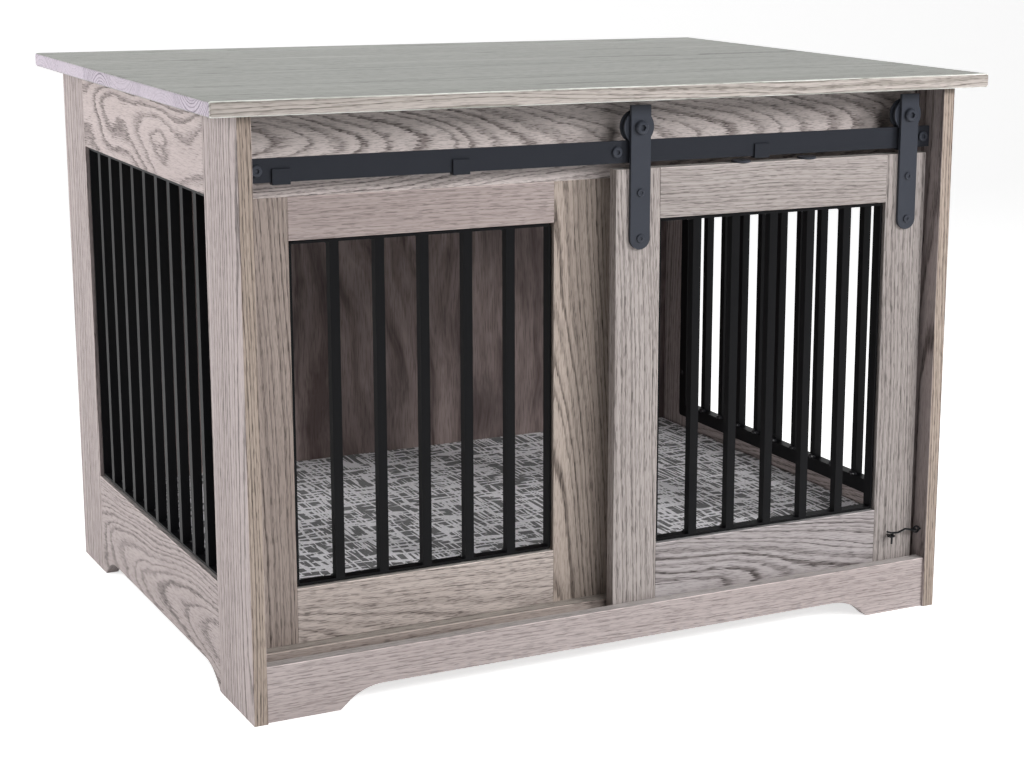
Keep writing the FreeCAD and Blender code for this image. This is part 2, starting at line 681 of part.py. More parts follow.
def make_hangers():
    spots = {"left": f"({DOOR_LEFT} + StrapInset)", "right": f"({DOOR_RIGHT} - StrapInset)"}
    for side, x in spots.items():
        make_strap(f"{side}_strap", x)
        make_wheel(f"{side}_wheel", x)

    wheel_back = f"({TRACK_MIDDLE} + WheelWidth / 2)"
    strap_front = f"({DOOR_FACE} - StrapThick)"
    shank = value(f"{wheel_back} + WheelGap + AxleNutHeight - {strap_front}")
    cap = screw(value("AxleCapRadius"), value("AxleCapHeight"), value("AxleRadius"), shank)
    solids("axle_bolts", [moved(cap, x, strap_front, AXLE_HEIGHT, FACING_FRONT)
                          for x in spots.values()])

    nut = hexagon(value("AxleNutRadius"), value("AxleNutHeight"), 0)
    nut = nut.cut(rod(value("AxleRadius + RunningClear"), value("AxleNutHeight")))
    solids("axle_nuts", [moved(nut, x, f"{wheel_back} + WheelGap + AxleNutHeight",
                               AXLE_HEIGHT, FACING_FRONT) for x in spots.values()])

    strap_screw = screw(value("StrapScrewHead"), value("ScrewHeadHeight"),
                        value("StrapScrewRadius"), value("StrapThick + ScrewBite"))
    solids("strap_screws", [moved(strap_screw, x, strap_front, f"{AXLE_HEIGHT} - {drop}",
                                  FACING_FRONT)
                            for x in spots.values()
                            for drop in ("StrapScrewUpper", "StrapScrewLower")])

    disc = rod(value("DiscRadius"), value("DiscThick"))
    disc = disc.cut(rod(value("ScrewRadius + HoleClear"), value("DiscThick")))
    head = rod(value("ScrewHeadRadius + HoleClear"), value("ScrewHeadHeight"),
               (0, 0, value("DiscThick - ScrewHeadHeight")))
    disc = disc.cut(head)
    disc_screw = screw(value("ScrewHeadRadius"), value("ScrewHeadHeight"),
                       value("ScrewRadius"), value("DiscThick - ScrewHeadHeight + ScrewBite"))
    discs = []
    disc_screws = []
    for sign in (-1, 1):
        x = f"{DOOR_LEFT} + DoorWidth / 2 + {sign} * DiscSpread"
        discs.append(moved(disc, x, DOOR_MIDDLE, DOOR_TOP))
        disc_screws.append(moved(disc_screw, x, DOOR_MIDDLE,
                                 f"{DOOR_TOP} + DiscThick - ScrewHeadHeight"))
    solids("anti_jump_discs", discs)
    solids("disc_screws", disc_screws)


# --- track ----------------------------------------------------------------------------------


def make_track():
    bolt_spots = [f"({LEFT_INNER} + TrackBoltInset)", "(CaseWidth / 2)",
                  f"({RIGHT_INNER} - TrackBoltInset)"]
    centre_z = f"({TRACK_BOTTOM} + TrackHeight / 2)"

    body = new_body("track_bar")
    bar = new_sketch(body, "TrackOutline")
    half_length = f"({INNER_WIDTH} / 2 - TrackEndGap)"
    rectangle(bar, f"-{half_length}", "(-TrackHeight / 2)", half_length, "(TrackHeight / 2)")
    pad(body, bar, "TrackThick")
    holes = new_sketch(body, "TrackHoles")
    for x in bolt_spots:
        circle(holes, f"({x} - {ORIGIN_X})", "0", "(BoltRadius + HoleClear)")
    pocket(body, holes)
    put(body, "CaseWidth / 2", TRACK_BACK, centre_z, FACING_FRONT)
    keep(body, "track_bar")

    spacer_length = value(f"{FIXED_FACE} - {TRACK_BACK}")
    spacer = rod(value("SpacerRadius"), spacer_length)
    spacer = spacer.cut(rod(value("BoltRadius + HoleClear"), spacer_length))
    solids("track_spacers", [moved(spacer, x, FIXED_FACE, centre_z, FACING_FRONT)
                             for x in bolt_spots])

    shank = value(f"{FIXED_FACE} - {TRACK_FRONT} + BoltBite")
    bolt = screw(value("BoltHeadRadius"), value("BoltHeadHeight"), value("BoltRadius"), shank)
    solids("track_bolts", [moved(bolt, x, TRACK_FRONT, centre_z, FACING_FRONT)
                           for x in bolt_spots])

    # each clip is a square trough that hugs the track's lower edge, front and back
    clip = Part.makeBox(value("ClipWidth"), value("TrackThick + 2 * ClipThick"),
                        value("ClipHeight + ClipThick"))
    clip.translate(Vector(-value("ClipWidth") / 2, -value("ClipThick"), -value("ClipThick")))
    slot = Part.makeBox(value("ClipWidth"), value("TrackThick"), value("ClipHeight"))
    slot.translate(Vector(-value("ClipWidth") / 2, 0, 0))
    clip = clip.cut(slot)
    clip_spots = [f"{LEFT_INNER} + ClipEndInset", "CaseWidth / 2 - ClipFromMiddle",
                  "CaseWidth / 2 + ClipFromMiddle", f"{RIGHT_INNER} - ClipEndInset"]
    solids("track_clips", [moved(clip, x, TRACK_FRONT, TRACK_BOTTOM) for x in clip_spots])


# --- hook latch -----------------------------------------------------------------------------


def eye_ring(radius, wire, axis):
    return Part.makeTorus(radius, wire, Vector(0, 0, 0), Vector(*axis))


def make_latch():
    """The side's eye stands upright, square to the front; the hook's loop hangs in it and
    swings about its middle; the hook's tip drops through the level eye on the door, which
    sits a little further out so that the tip clears it on its way up."""
    wire = value("LatchWire")
    setback = f"{DOOR_FACE} - LatchSetback"
    pivot_x = f"{RIGHT_INNER} - SideEyeOut"

    ring = value("SideEyeRadius")
    shank = value("SideEyeOut + EyeScrewBite") - ring
    side_eye = eye_ring(ring, wire, (0, 1, 0)).fuse(rod(wire, shank, (ring, 0, 0), (1, 0, 0)))
    solids("side_eye", [moved(side_eye, pivot_x, setback, "LatchHeight")])

    # the hook from its loop to its tip, then the tail that a finger lifts
    loop = value("HookLoopRadius")
    reach = value("LatchReach")
    loop_middle = -ring
    loop_ring = eye_ring(loop, wire, (0, 0, 1))
    loop_ring.translate(Vector(loop_middle, 0, 0))
    start = loop_middle - loop
    bend = 2.4 * wire
    arm = wire_along([(start, 0, 0), (-0.45 * reach, 0, 2.2 * wire),
                      (-0.75 * reach, 0, -0.6 * wire), (-reach, 0, 0),
                      (-reach, 0, -value("HookTip"))], bend, wire)
    tail = wire_along([(-reach + bend, 0, 0), (-reach - 0.35 * bend, 0, 0),
                       (-reach - value("HookTail"), 0, 2 * wire)], bend, wire)
    hook = loop_ring.fuse([arm, tail]).removeSplitter()
    solids("latch_hook", [moved(hook, pivot_x, setback, "LatchHeight")])

    eye = value("DoorEyeRadius")
    stem = value("LatchSetback + EyeScrewBite") - eye
    door_eye = eye_ring(eye, wire * 0.85, (0, 0, 1))
    door_eye = door_eye.fuse(rod(wire * 0.85, stem, (0, eye, 0), (0, 1, 0)))
    solids("door_eye", [moved(door_eye, f"{pivot_x} - LatchReach - DoorEyeShift", setback,
                              "LatchHeight - DoorEyeDrop - LatchWire")])


# --- build, check and export ----------------------------------------------------------------

make_table_top()
make_sides()
make_front()
make_inside()
make_grids()
make_door()
make_hangers()
make_track()
make_latch()
doc.recompute()

for item in doc.Objects:
    if "Invalid" in item.State or "Error" in item.State:
        raise RuntimeError(f"{item.Name} did not compute: {item.State}")
for piece in pieces:
    if piece.Shape.isNull() or not piece.Shape.isValid() or not piece.Shape.Solids:
        raise RuntimeError(f"{piece.Label} is not a valid solid")
for piece in pieces:
    piece.Shape.exportStep(f"parts/{piece.Label}.step")
    print(f"{piece.Label}: {len(piece.Shape.Solids)} solids, {piece.Shape.Volume:.0f} mm3")
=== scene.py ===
import json
import math

import bmesh
import bpy
from mathutils import Matrix, Vector, noise

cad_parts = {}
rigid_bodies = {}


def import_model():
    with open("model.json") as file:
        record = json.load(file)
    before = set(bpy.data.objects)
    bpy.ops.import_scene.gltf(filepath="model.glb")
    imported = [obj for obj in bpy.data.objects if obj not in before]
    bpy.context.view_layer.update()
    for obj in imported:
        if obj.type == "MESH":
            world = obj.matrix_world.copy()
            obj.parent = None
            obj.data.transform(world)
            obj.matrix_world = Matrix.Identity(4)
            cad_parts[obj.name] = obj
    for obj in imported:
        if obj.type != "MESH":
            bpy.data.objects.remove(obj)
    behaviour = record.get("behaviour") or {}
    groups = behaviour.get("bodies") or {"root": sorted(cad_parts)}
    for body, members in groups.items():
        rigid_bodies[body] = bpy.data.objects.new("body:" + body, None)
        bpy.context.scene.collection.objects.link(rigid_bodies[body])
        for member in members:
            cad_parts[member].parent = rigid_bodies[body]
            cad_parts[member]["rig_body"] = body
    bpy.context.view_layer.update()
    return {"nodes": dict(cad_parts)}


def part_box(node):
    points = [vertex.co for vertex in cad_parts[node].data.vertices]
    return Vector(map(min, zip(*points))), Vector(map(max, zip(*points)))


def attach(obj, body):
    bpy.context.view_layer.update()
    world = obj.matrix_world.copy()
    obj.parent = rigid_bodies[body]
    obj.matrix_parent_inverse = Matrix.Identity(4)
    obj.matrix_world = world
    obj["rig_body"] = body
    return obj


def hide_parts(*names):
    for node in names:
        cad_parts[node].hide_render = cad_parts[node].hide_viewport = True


# The looks of a dog crate end table: stained oak boards, powder-coated steel, a carpet mat,
# a pale floor, studio lights and the photograph's camera. Metres, in the CAD model's frame.

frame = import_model()
scene = bpy.context.scene

MM = 0.001
CASE = "case"
DOOR = "door"


# --- colours and node shorthand -------------------------------------------------------------

SRGB_KNEE = 0.04045
SRGB_SLOPE = 12.92
SRGB_LIFT = 0.055
SRGB_POWER = 2.4

# a Mix node's colour sockets, which share their names with its number and vector sockets
MIX_FIRST = 6
MIX_SECOND = 7
MIX_RESULT = 2


def linear(channel):
    """A display value from 0 to 255, as the linear value that shaders take."""
    share = channel / 255
    if share <= SRGB_KNEE:
        return share / SRGB_SLOPE
    return ((share + SRGB_LIFT) / (1 + SRGB_LIFT)) ** SRGB_POWER


def colour(red, green, blue):
    return (linear(red), linear(green), linear(blue), 1.0)


def scaled_colour(base, share):
    return (*(min(1.0, share * part) for part in base[:3]), 1.0)


class Shader:
    """A new material's node tree, with one call for each kind of node it uses."""

    def __init__(self, name, roughness=0.5, specular=0.5):
        self.material = bpy.data.materials.new(name)
        self.material.use_nodes = True
        self.tree = self.material.node_tree
        self.surface = self.tree.nodes["Principled BSDF"]
        self.surface.inputs["Roughness"].default_value = roughness
        self.surface.inputs["Specular IOR Level"].default_value = specular

    def add(self, kind, **settings):
        node = self.tree.nodes.new("ShaderNode" + kind)
        for key, setting in settings.items():
            setattr(node, key, setting)
        return node

    def feed(self, socket, source):
        """Link a socket to another one, or set it to a plain value."""
        if hasattr(source, "is_output"):
            self.tree.links.new(source, socket)
        else:
            socket.default_value = source

    def math(self, operation, first, second=0.0, third=0.0, clamp=False):
        node = self.add("Math", operation=operation, use_clamp=clamp)
        for socket, source in zip(node.inputs, (first, second, third)):
            self.feed(socket, source)
        return node.outputs[0]

    def vector(self, operation, first, second=(0, 0, 0)):
        node = self.add("VectorMath", operation=operation)
        self.feed(node.inputs[0], first)
        self.feed(node.inputs["Scale" if operation == "SCALE" else 1], second)
        return node.outputs["Value" if operation == "LENGTH" else "Vector"]

    def parts(self, source):
        """A vector's three numbers."""
        node = self.add("SeparateXYZ")
        self.feed(node.inputs[0], source)
        return node.outputs

    def attribute(self, name, kind="Vector"):
        return self.add("Attribute", attribute_name=name).outputs[kind]

    def place(self):
        return self.add("TexCoord").outputs["Object"]

    def noise(self, where, repeats, detail=2.0, rough=0.5, output="Fac"):
        """Noise that repeats so often per metre: one number, or one for each direction."""
        if hasattr(repeats, "__len__"):
            where = self.vector("MULTIPLY", where, repeats)
            repeats = 1.0
        node = self.add("TexNoise")
        self.feed(node.inputs["Vector"], where)
        node.inputs["Scale"].default_value = repeats
        node.inputs["Detail"].default_value = detail
        node.inputs["Roughness"].default_value = rough
        return node.outputs[output]

    def ramp(self, factor, *stops):
        """Each stop is (position, grey value)."""
        node = self.add("ValToRGB")
        elements = node.color_ramp.elements
        while len(elements) < len(stops):
            elements.new(0.5)
        for element, (position, shade) in zip(elements, stops):
            element.position = position
            element.color = (shade, shade, shade, 1)
        self.feed(node.inputs["Fac"], factor)
        return node.outputs["Color"]

    def rise(self, factor, low, high):
        """From 0 below low to 1 above high."""
        return self.ramp(factor, (low, 0.0), (high, 1.0))

    def mix(self, factor, first, second, blend="MIX"):
        node = self.add("Mix", data_type="RGBA", blend_type=blend)
        self.feed(node.inputs["Factor"], factor)
        self.feed(node.inputs[MIX_FIRST], first)
        self.feed(node.inputs[MIX_SECOND], second)
        return node.outputs[MIX_RESULT]

    def tinted(self, base):
        """A colour times the face's own tint."""
        return self.mix(1.0, base, self.attribute("tint", "Color"), blend="MULTIPLY")

    def bump(self, height, distance, strength):
        node = self.add("Bump")
        node.inputs["Strength"].default_value = strength
        node.inputs["Distance"].default_value = distance
        self.feed(node.inputs["Height"], height)
        return node.outputs[0]

    def finish(self, base, roughness=None, normal=None):
        for socket, source in (("Base Color", base), ("Roughness", roughness),
                               ("Normal", normal)):
            if source is not None:
                self.feed(self.surface.inputs[socket], source)
        return self.material


# --- oak ------------------------------------------------------------------------------------

RING_SPACING = 4.6 * MM
SPACING_CHANGES = 0.37      # how often the spacing changes, per ring
SPACING_PULL = 2.0          # how far it then shifts them, in rings
EARLY_WOOD = ((0.0, 0.0), (0.07, 1.0), (0.24, 0.8), (0.4, 0.2), (0.6, 0.0))
FAINTEST_RING = 0.5

# how often the figure repeats along, across and through a board, per metre
SWIRLS = (4.5, 11, 11)
BENDS = (1.3, 4, 4)
RIPPLES = (24, 85, 85)
FEATHERS = (14, 700, 700)
VESSELS = (60, 800, 800)
FIBRES = (7, 360, 360)
CLOUDS = (3, 14, 14)
SWIRL_REACH = 12 * MM
BEND_REACH = 30 * MM
RIPPLE_REACH = 1.6 * MM

# how far the rings' edges run out along the fibres, in rings
FEATHER_LEAST = 0.1
FEATHER_PER_WILD = 0.4
FEATHER_MOST = 0.62

CLOUD_SHARE = 0.45
FIBRE_SHARE = 0.45
LOOSE_PORES = 0.28
RING_PORES = 0.6
FIBRE_HEIGHT = 0.2
PORE_HEIGHT = -1.0
OAK_RELIEF = 0.2 * MM
OAK_RELIEF_STRENGTH = 0.5
PORE_ROUGHNESS = 0.2
COAT_ROUGHNESS = 0.3


def ring_years(wood, grain, wild):
    """How many growth rings lie between the pith and a point, as it wanders and feathers."""

    def wander(repeats, reach):
        """A smooth shift across and through the board."""
        shift = wood.noise(grain, repeats, detail=0.6, output="Color")
        centred = wood.vector("SUBTRACT", shift, (0.5, 0.5, 0.5))
        return wood.vector("MULTIPLY", centred, (0, reach, reach))

    swirl = wood.vector("SCALE", wander(SWIRLS, SWIRL_REACH), wild)
    bent = wood.vector("ADD", grain, wood.vector("ADD", wander(BENDS, BEND_REACH), swirl))
    bent = wood.vector("ADD", bent, wander(RIPPLES, RIPPLE_REACH))
    from_pith = wood.vector("LENGTH", wood.vector("MULTIPLY", bent, (0, 1, 1)))
    years = wood.math("DIVIDE", from_pith, RING_SPACING)

    uneven = wood.add("TexNoise", noise_dimensions="1D")
    uneven.inputs["Scale"].default_value = SPACING_CHANGES
    wood.feed(uneven.inputs["W"], years)
    years = wood.math("MULTIPLY_ADD", uneven.outputs["Fac"], SPACING_PULL, years)

    feather = wood.noise(grain, FEATHERS, detail=1)
    reach = wood.math("MULTIPLY_ADD", wild, FEATHER_PER_WILD, FEATHER_LEAST)
    reach = wood.math("MINIMUM", reach, FEATHER_MOST)
    return wood.math("ADD", years, wood.math("MULTIPLY", feather, reach))


def early_wood(wood, years, bands):
    """The dark porous start of each ring; some rings are fainter than others."""
    strength = wood.add("TexWhiteNoise", noise_dimensions="1D")
    wood.feed(strength.inputs["W"], wood.math("FLOOR", years))
    early = wood.ramp(wood.math("FRACT", years), *EARLY_WOOD)
    faded = wood.math("MULTIPLY_ADD", strength.outputs["Value"], 1 - FAINTEST_RING,
                      FAINTEST_RING)
    return wood.math("MULTIPLY", wood.math("MULTIPLY", early, faded), bands)


def oak(name, pale, mid, ring, pore, roughness, coat=0.0):
    """Stained oak as a solid: growth rings about a wandering pith, feathered along the fibres,
    with pores in their early wood. Attribute grain holds each point's place along the board,
    across it and through it, counted from the pith. Attribute cut holds how wild the board's
    figure is, how strong its rings and how many its loose pores; tint colours a face."""
    wood = Shader(name, specular=0.35)
    grain = wood.attribute("grain")
    wild, bands, loose = wood.parts(wood.attribute("cut"))
    early = early_wood(wood, ring_years(wood, grain, wild), bands)

    fibres = wood.rise(wood.noise(grain, FIBRES, rough=0.6), 0.34, 0.66)
    cloud = wood.rise(wood.noise(grain, CLOUDS), 0.32, 0.68)
    depth = wood.math("MULTIPLY_ADD", cloud, CLOUD_SHARE,
                      wood.math("MULTIPLY", fibres, FIBRE_SHARE))
    base = wood.mix(early, wood.mix(depth, pale, mid), ring)

    vessels = wood.rise(wood.noise(grain, VESSELS, detail=1), 0.52, 0.6)
    spread = wood.math("MULTIPLY_ADD", loose, LOOSE_PORES,
                       wood.math("MULTIPLY", early, RING_PORES))
    pores = wood.math("MULTIPLY", vessels, spread, clamp=True)
    base = wood.tinted(wood.mix(pores, base, pore))

    relief = wood.math("MULTIPLY_ADD", fibres, FIBRE_HEIGHT,
                       wood.math("MULTIPLY", pores, PORE_HEIGHT))
    normal = wood.bump(relief, OAK_RELIEF, OAK_RELIEF_STRENGTH)
    gloss = wood.math("MULTIPLY_ADD", pores, PORE_ROUGHNESS, roughness)
    wood.surface.inputs["Coat Weight"].default_value = coat
    wood.surface.inputs["Coat Roughness"].default_value = COAT_ROUGHNESS
    return wood.finish(base, gloss, normal)


# --- plywood --------------------------------------------------------------------------------

SWAYS = (2.2, 5, 5)
SWAY_REACH = 220 * MM
PLY_BANDS = (1.6, 30, 30)
PLY_PORES = (32, 520, 520)
PLY_BLOTCHES = (5, 9, 9)
BLOTCH_SHARE = 0.5
PLY_PORE_SHARE = 0.4
PLY_RELIEF = -0.15 * MM


def plywood(name):
    """Dark stained plywood with a rotary-cut face: broad wandering figure, fine pores."""
    ply = Shader(name, specular=0.3)
    grain = ply.attribute("grain")
    sway = ply.noise(grain, SWAYS, output="Color")
    sway = ply.vector("SUBTRACT", sway, (0.5, 0.5, 0.5))
    bent = ply.vector("ADD", grain, ply.vector("MULTIPLY", sway, (0, SWAY_REACH, SWAY_REACH)))
    bands = ply.rise(ply.noise(bent, PLY_BANDS, detail=4, rough=0.6), 0.36, 0.64)
    pores = ply.rise(ply.noise(grain, PLY_PORES), 0.5, 0.64)
    blotch = ply.rise(ply.noise(bent, PLY_BLOTCHES, detail=3), 0.4, 0.64)
    base = ply.mix(bands, colour(174, 157, 152), colour(102, 88, 85))
    base = ply.mix(ply.math("MULTIPLY", blotch, BLOTCH_SHARE), base, colour(78, 69, 70))
    base = ply.mix(ply.math("MULTIPLY", pores, PLY_PORE_SHARE), base, colour(62, 52, 50))
    normal = ply.bump(pores, PLY_RELIEF, 0.5)
    return ply.finish(ply.tinted(base), 0.6, normal)


# --- powder coat ----------------------------------------------------------------------------

PEBBLES = 1500
HAZE = 24
HAZE_SHADE = 0.86
HAZE_ROUGHNESS = 0.12
FLECK_SHADE = 1.7
FLECK_SHARE = 0.3
PEBBLE_RELIEF = 0.12 * MM


def powder_coat(name, base, roughness, specular, grit=0.35):
    """Baked powder paint: an even dark colour with a fine pebbled surface."""
    paint = Shader(name, specular=specular)
    where = paint.place()
    pebbles = paint.noise(where, PEBBLES, rough=0.6)
    haze = paint.noise(where, HAZE, detail=3)
    shade = paint.mix(haze, scaled_colour(base, HAZE_SHADE), base)
    flecks = paint.math("MULTIPLY", paint.rise(pebbles, 0.45, 0.75), FLECK_SHARE)
    shade = paint.mix(flecks, shade, scaled_colour(base, FLECK_SHADE))
    gloss = paint.math("MULTIPLY_ADD", haze, HAZE_ROUGHNESS, roughness - HAZE_ROUGHNESS / 2)
    return paint.finish(shade, gloss, paint.bump(pebbles, PEBBLE_RELIEF, grit))


# --- carpet ---------------------------------------------------------------------------------

THREADS_ALONG = (26, 120, 60)
THREADS_ACROSS = (230, 17, 60)
TUFTS = 330
TUFT_SHARE = 0.22
THREAD_HEIGHT = 0.5
PILE_RELIEF = 1.2 * MM
PILE_RELIEF_STRENGTH = 0.9
PILE_SHEEN = 0.3
PILE_SHEEN_ROUGHNESS = 0.6


def carpet_pile(name):
    """Low cut pile in black, with broken white threads along the mat and across it."""
    pile = Shader(name, roughness=0.95, specular=0.15)
    where = pile.place()
    along = pile.rise(pile.noise(where, THREADS_ALONG, detail=0.6), 0.535, 0.565)
    across = pile.rise(pile.noise(where, THREADS_ACROSS, detail=0.6), 0.53, 0.56)
    pale = pile.math("MAXIMUM", along, across)
    tufts = pile.noise(where, TUFTS, detail=1)
    heather = pile.math("MULTIPLY", pile.rise(tufts, 0.45, 0.6), TUFT_SHARE)
    base = pile.mix(pale, colour(26, 25, 28), colour(250, 247, 252))
    base = pile.mix(heather, base, colour(140, 138, 142))
    height = pile.math("MULTIPLY_ADD", pale, THREAD_HEIGHT, tufts)
    normal = pile.bump(height, PILE_RELIEF, PILE_RELIEF_STRENGTH)
    pile.surface.inputs["Sheen Weight"].default_value = PILE_SHEEN
    pile.surface.inputs["Sheen Roughness"].default_value = PILE_SHEEN_ROUGHNESS
    return pile.finish(base, normal=normal)


OAK = oak("stained_oak", colour(188, 177, 172), colour(168, 156, 151), colour(112, 102, 98),
          colour(62, 55, 52), roughness=0.55)
SLAB_OAK = oak("stained_oak_slab", colour(158, 160, 152), colour(140, 142, 134),
               colour(106, 108, 99), colour(76, 75, 68), roughness=0.4, coat=0.2)
# the slab's end grain: its pale lavender is partly the wood's own whitish end grain, partly painted
# light
SLAB_END_GRAIN_AND_PAINTED_LIGHT = oak("slab_end_grain_and_painted_light", colour(196, 186, 196), colour(184, 174, 186),
               colour(132, 122, 136), colour(104, 94, 106), roughness=0.5)
PLYWOOD = plywood("dark_plywood")
HARDWARE = powder_coat("hardware_coat", colour(57, 60, 68), roughness=0.46, specular=0.26)
TRACK = powder_coat("track_coat", colour(44, 46, 52), roughness=0.5, specular=0.14)
BARS = powder_coat("bar_coat", colour(16, 16, 18), roughness=0.46, specular=0.12, grit=0.25)
SCREWS = powder_coat("screw_coat", colour(40, 40, 44), roughness=0.28, specular=0.5, grit=0.1)
WIRE = powder_coat("wire_coat", colour(22, 23, 26), roughness=0.34, specular=0.3, grit=0.1)
CARPET = carpet_pile("carpet_pile")


# --- pieces from CAD nodes ------------------------------------------------------------------

SEAM = 0.005 * MM
FLAT_BEND = math.radians(0.4)
SHARP_BEND = 35         # degrees, from where an edge is eased
SMOOTH_BEND = 32        # degrees, up to which faces are shaded as one


def made_mesh(name, solid):
    """A mesh from a bmesh, which ends here."""
    mesh = bpy.data.meshes.new(name)
    solid.to_mesh(mesh)
    solid.free()
    return mesh


def add_object(name, mesh, material):
    mesh.materials.clear()
    mesh.materials.append(material)
    piece = bpy.data.objects.new(name, mesh)
    scene.collection.objects.link(piece)
    return piece


def node_copy(node):
    """A bmesh of a node's solid, its seams closed and its flat faces whole."""
    solid = bmesh.new()
    solid.from_mesh(frame["nodes"][node].data)
    bmesh.ops.remove_doubles(solid, verts=solid.verts, dist=SEAM)
    bmesh.ops.dissolve_limit(solid, angle_limit=FLAT_BEND, verts=solid.verts,
                             edges=solid.edges)
    return solid


def stand_in(piece, node):
    """Show a piece in place of a node, on the node's body."""
    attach(piece, frame["nodes"][node]["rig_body"])
    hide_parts(node)


def ease_edges(piece, width, segments=2, weighted=False):
    """Round over a piece's sharp edges and keep its flat faces flat to the eye."""
    bevel = piece.modifiers.new("ease", "BEVEL")
    bevel.width = width
    bevel.segments = segments
    bevel.limit_method = "WEIGHT" if weighted else "ANGLE"
    bevel.angle_limit = math.radians(SHARP_BEND)
    bevel.harden_normals = True
    bevel.use_clamp_overlap = True


def settle(piece):
    """Turn a piece's modifiers into plain mesh."""
    view = bpy.context.evaluated_depsgraph_get()
    mesh = bpy.data.meshes.new_from_object(piece.evaluated_get(view))
    piece.modifiers.clear()
    piece.data = mesh


def smooth(piece, angle=SMOOTH_BEND):
    piece.data.shade_smooth()
    piece.data.set_sharp_from_angle(angle=math.radians(angle))


def dress(node, material, ease):
    """A copy of a node with eased edges and a finished surface, shown in its place."""
    mesh = made_mesh(node + "_dressed", node_copy(node))
    piece = add_object(node + "_dressed", mesh, material)
    smooth(piece)
    if ease:
        ease_edges(piece, ease)
    settle(piece)
    stand_in(piece, node)


# --- boards ---------------------------------------------------------------------------------

AXES = {"x": 0, "y": 1, "z": 2}
BOARD_EASE = 1.1 * MM
JOINT_EASE = 0.25 * MM
END_REACH = 0.1 * MM
LEVEL_BEND = math.radians(1)
SEED_STEP = 2.37        # metres of log between one board's seed and the next


def weigh_edges(solid, along):
    """Bevel weights: full on a board's long edges, slight on the edges of its two ends."""
    weights = solid.edges.layers.float.new("bevel_weight_edge")
    low = min(vertex.co[along] for vertex in solid.verts)
    high = max(vertex.co[along] for vertex in solid.verts)
    for edge in solid.edges:
        if len(edge.link_faces) == 2 and edge.calc_face_angle() < LEVEL_BEND:
            continue
        places = [vertex.co[along] for vertex in edge.verts]
        at_end = any(all(abs(place - end) < END_REACH for place in places)
                     for end in (low, high))
        edge[weights] = JOINT_EASE / BOARD_EASE if at_end else 1.0


def wood_attributes(mesh):
    """The attributes that the wood materials read, one value per face corner."""
    mesh.attributes.new("grain", "FLOAT_VECTOR", "CORNER")
    mesh.attributes.new("cut", "FLOAT_VECTOR", "CORNER")
    mesh.attributes.new("tint", "FLOAT_COLOR", "CORNER")
    return mesh.attributes["grain"], mesh.attributes["cut"], mesh.attributes["tint"]


class Cut:
    """How a board was sawn. pith is how far the log's centre lies from the board's middle,
    across it and through it; drift is how fast that changes along the board."""

    def __init__(self, pith, drift=(0.0, 0.0), wild=1.0, rings=1.0, pores=1.0):
        self.pith = pith
        self.drift = drift
        self.looks = (wild, rings, pores)

    def place(self, along, across, through):
        return Vector((along, across + self.pith[0] + self.drift[0] * along,
                       through + self.pith[1] + self.drift[1] * along))


def lay_grain(piece, along, across, seed, cut, tint, face_tint):
    """Write each corner's place in the wood, the board's cut and the face's tint."""
    mesh = piece.data
    through = 3 - along - across
    corners = [vertex.co for vertex in mesh.vertices]
    middle = Vector([(min(spot[axis] for spot in corners) + max(spot[axis] for spot in corners)) / 2
                     for axis in range(3)])
    log_start = Vector((SEED_STEP * seed, 0, 0))
    grain, cuts, tints = wood_attributes(mesh)
    for face in mesh.polygons:
        shade = face_tint(face.normal, tint)
        for corner in face.loop_indices:
            spot = corners[mesh.loops[corner].vertex_index] - middle
            wood = cut.place(spot[along], spot[across], spot[through])
            grain.data[corner].vector = wood + log_start
            cuts.data[corner].vector = cut.looks
            tints.data[corner].color = (*shade, 1.0)


FACING = 0.9            # a normal's part along an axis, from where a face looks that way
LEVEL = 0.97            # below this, along every axis, a face is part of an eased edge
EDGE_UPWARD = 0.2       # from where an eased edge is an upper one
# painted light: upward faces are tinted paler as if lit from above, and eased edges carry a painted
# highlight over pale wear
UP_PAINTED_LIGHT = (1.12, 1.2, 1.2)
EASED_EDGE_WEAR_AND_HIGHLIGHT = 1.12
UPPER_EDGE_WEAR_AND_HIGHLIGHT = 1.6
BAND_TINT = (0.93, 0.88, 0.8)


def scaled(tint, share):
    return tuple(part * share for part in tint)


def plain_face(normal, tint):
    """Painted top light makes upward faces paler and greener; eased edges get painted highlight and
    pale wear.
    """
    if normal.z > FACING:
        return tuple(part * more for part, more in zip(tint, UP_PAINTED_LIGHT))
    if max(abs(part) for part in normal) < LEVEL:
        return scaled(tint, UPPER_EDGE_WEAR_AND_HIGHLIGHT if normal.z > EDGE_UPWARD else EASED_EDGE_WEAR_AND_HIGHLIGHT)
    return tint


def stile_face(normal, tint):
    """The side stiles' front edges are a shade yellower than their faces."""
    if normal.y < -FACING:
        return BAND_TINT
    return plain_face(normal, tint)


def oak_board(node, grain, across, seed, cut, tint, material=OAK,
              face_tint=plain_face):
    """One solid oak board in place of a node; grain and across name axes."""
    along = AXES[grain]
    solid = node_copy(node)
    weigh_edges(solid, along)
    piece = add_object(node + "_board", made_mesh(node + "_board", solid), material)
    smooth(piece)
    ease_edges(piece, BOARD_EASE, segments=3, weighted=True)
    settle(piece)
    lay_grain(piece, along, AXES[across], seed, cut, tint, face_tint)
    stand_in(piece, node)


# a pith close under a face gives cathedrals, one far to the side gives straight grain
STRAIGHT = Cut((0.19, 0.05), wild=0.4, rings=0.9)
FINE = Cut((0.12, 0.07), (0.012, 0.0), wild=0.3, rings=0.36)
INNER = Cut((0.3, 0.2))

PLAIN = (1.0, 1.0, 1.0)
ROSE = (1.0, 0.98, 1.02)
GREYER = (0.95, 0.98, 1.0)
BROWNER = (0.99, 0.95, 0.93)
INNER_DARK = (0.8, 0.78, 0.76)
BACK_TINT = (1.1, 1.1, 1.12)


